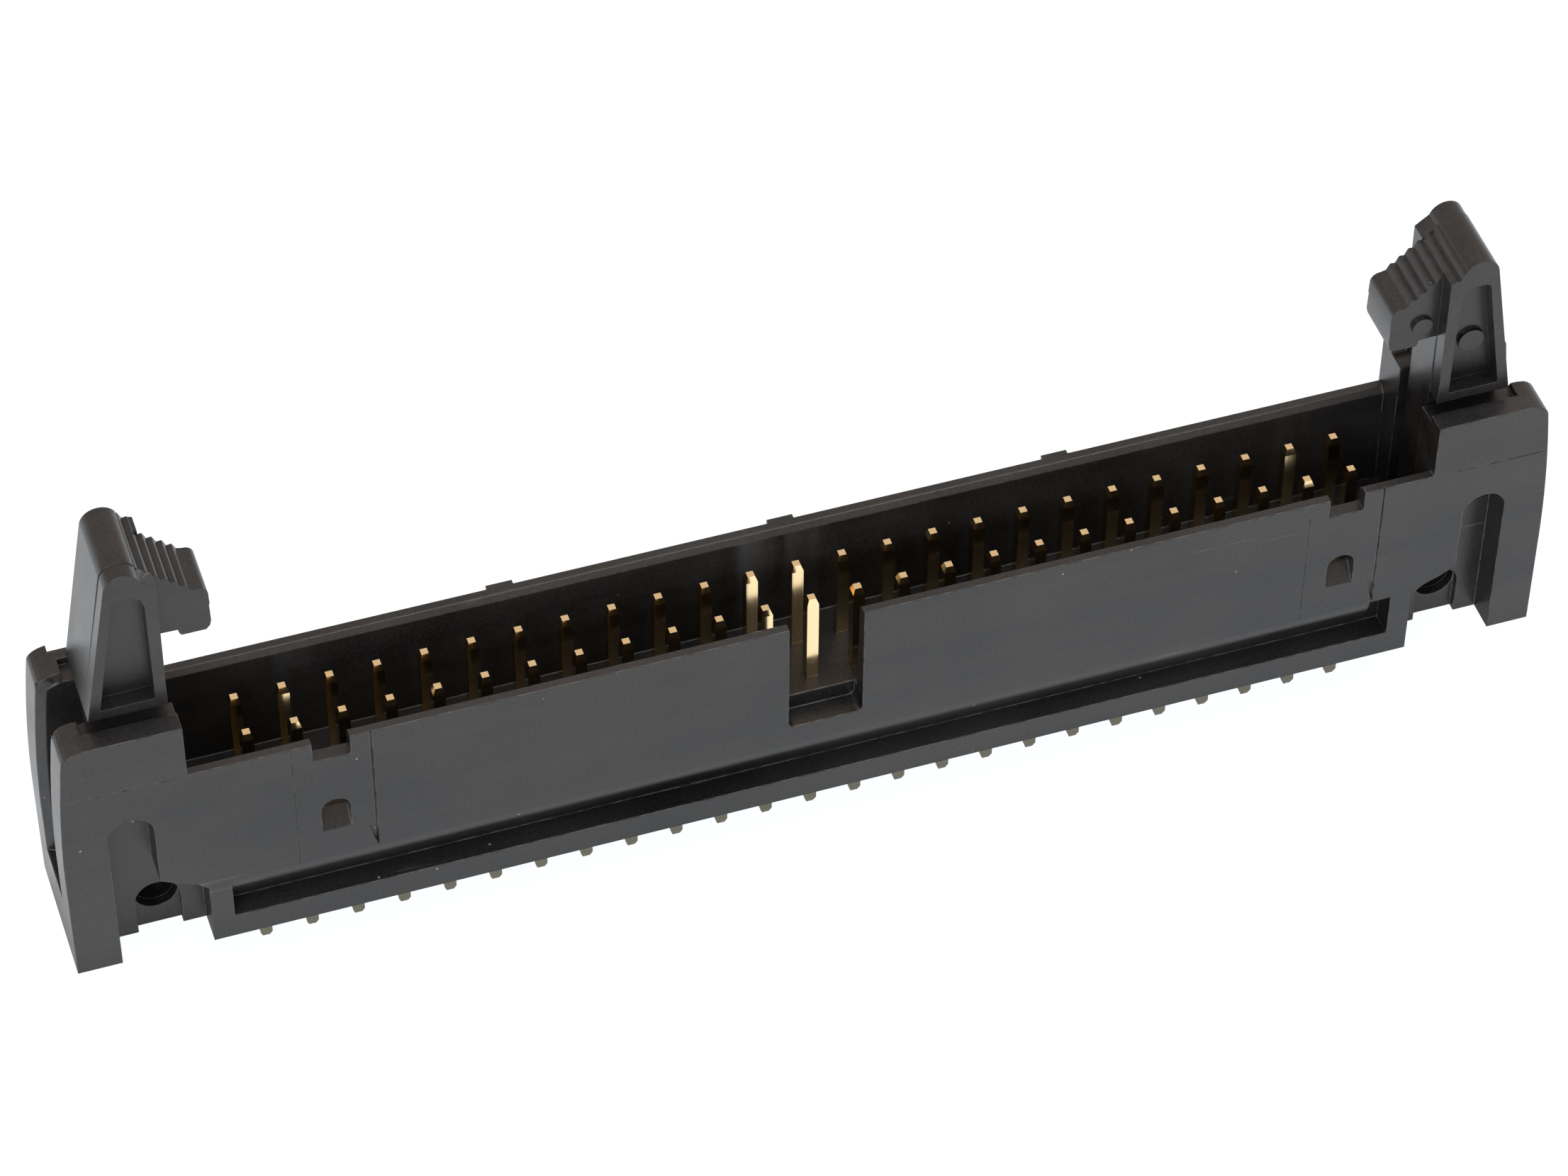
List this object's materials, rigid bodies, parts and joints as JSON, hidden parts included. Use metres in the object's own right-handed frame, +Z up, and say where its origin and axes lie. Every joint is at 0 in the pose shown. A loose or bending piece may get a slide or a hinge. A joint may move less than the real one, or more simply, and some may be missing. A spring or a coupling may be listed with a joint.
{
  "type": "idc box header",
  "caption": "Shrouded two-row pin header with a keyed open trough, square gold pins and a pivoting ejector latch at each end.",
  "frame": {"origin": "centre of the pin field on the face that sits on the circuit board", "axes": "+X along the pin rows, -Y towards the keyed side, +Z up out of the trough"},
  "size_m": [0.082, 0.0079, 0.0308],
  "materials": {
    "housing_plastic": "satin, dark charcoal, glass filled",
    "latch_plastic": "satin, slightly darker than the body",
    "pin_metal": "thin gold plating, smooth"
  },
  "bodies": {
    "header": {"housing": "housing_plastic", "pin_01": "pin_metal", "pin_02": "pin_metal", "pin_03": "pin_metal", "pin_04": "pin_metal", "pin_05": "pin_metal", "pin_06": "pin_metal", "pin_07": "pin_metal", "pin_08": "pin_metal", "pin_09": "pin_metal", "pin_10": "pin_metal", "pin_11": "pin_metal", "pin_12": "pin_metal", "pin_13": "pin_metal", "pin_14": "pin_metal", "pin_15": "pin_metal", "pin_16": "pin_metal", "pin_17": "pin_metal", "pin_18": "pin_metal", "pin_19": "pin_metal", "pin_20": "pin_metal", "pin_21": "pin_metal", "pin_22": "pin_metal", "pin_23": "pin_metal", "pin_24": "pin_metal", "pin_25": "pin_metal", "pin_26": "pin_metal", "pin_27": "pin_metal", "pin_28": "pin_metal", "pin_29": "pin_metal", "pin_30": "pin_metal", "pin_31": "pin_metal", "pin_32": "pin_metal", "pin_33": "pin_metal", "pin_34": "pin_metal", "pin_35": "pin_metal", "pin_36": "pin_metal", "pin_37": "pin_metal", "pin_38": "pin_metal", "pin_39": "pin_metal", "pin_40": "pin_metal", "pin_41": "pin_metal", "pin_42": "pin_metal", "pin_43": "pin_metal", "pin_44": "pin_metal", "pin_45": "pin_metal", "pin_46": "pin_metal", "pin_47": "pin_metal", "pin_48": "pin_metal", "pin_49": "pin_metal", "pin_50": "pin_metal"},
    "latch_left": {"latch_left": "latch_plastic"},
    "latch_right": {"latch_right": "latch_plastic"}
  },
  "joints": [
    {"name": "latch_left_pivot", "type": "hinge", "parent": "header", "child": "latch_left", "pos_m": [-0.03612, 0, 0.0024], "axis": [0, -1, 0], "range_deg": [0, 30]},
    {"name": "latch_right_pivot", "type": "hinge", "parent": "header", "child": "latch_right", "pos_m": [0.03612, 0, 0.0024], "axis": [0, 1, 0], "range_deg": [0, 30]}
  ]
}
